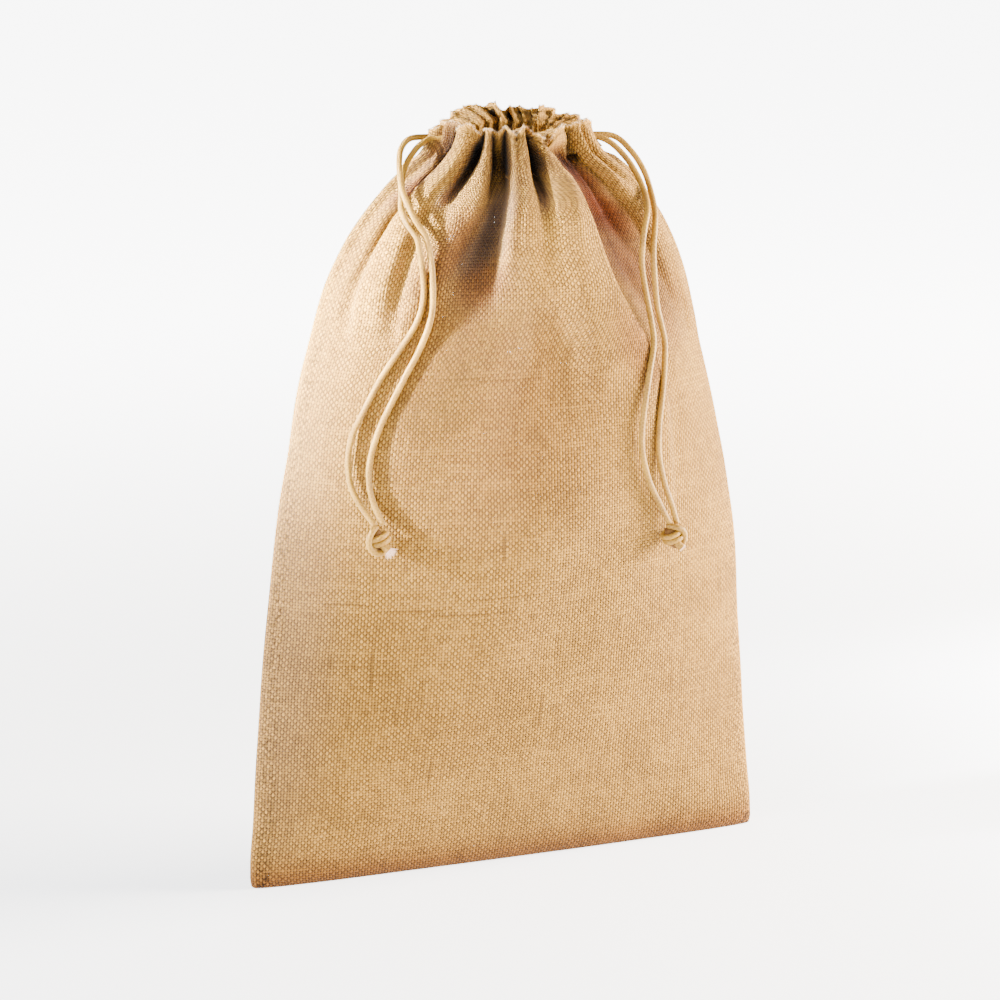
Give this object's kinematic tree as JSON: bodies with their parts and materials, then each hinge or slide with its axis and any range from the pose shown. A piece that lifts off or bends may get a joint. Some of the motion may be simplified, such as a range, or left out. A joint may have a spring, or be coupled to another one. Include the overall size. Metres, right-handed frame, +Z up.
{
  "type": "burlap sack",
  "caption": "Upright drawstring sack of plain-woven jute burlap, flat at the foot, with a gathered channel mouth and a knotted cord hanging from each side.",
  "frame": {"origin": "middle of the flat underside on which the sack stands", "axes": "+Z up to the gathered mouth, -Y towards the front where the cords hang, +X to the right-hand side seam seen from the front"},
  "size_m": [0.298, 0.1223, 0.4184],
  "materials": {
    "jute_burlap": "plain-woven natural jute, matt and hairy, open enough to see through where it is one layer",
    "waxed_cord": "round waxed cotton cord, straw coloured, slightly satin"
  },
  "bodies": {
    "root": {"sack": "jute_burlap", "drawcord_left": "waxed_cord", "drawcord_right": "waxed_cord", "knot_left": "waxed_cord", "knot_right": "waxed_cord"}
  },
  "joints": []
}
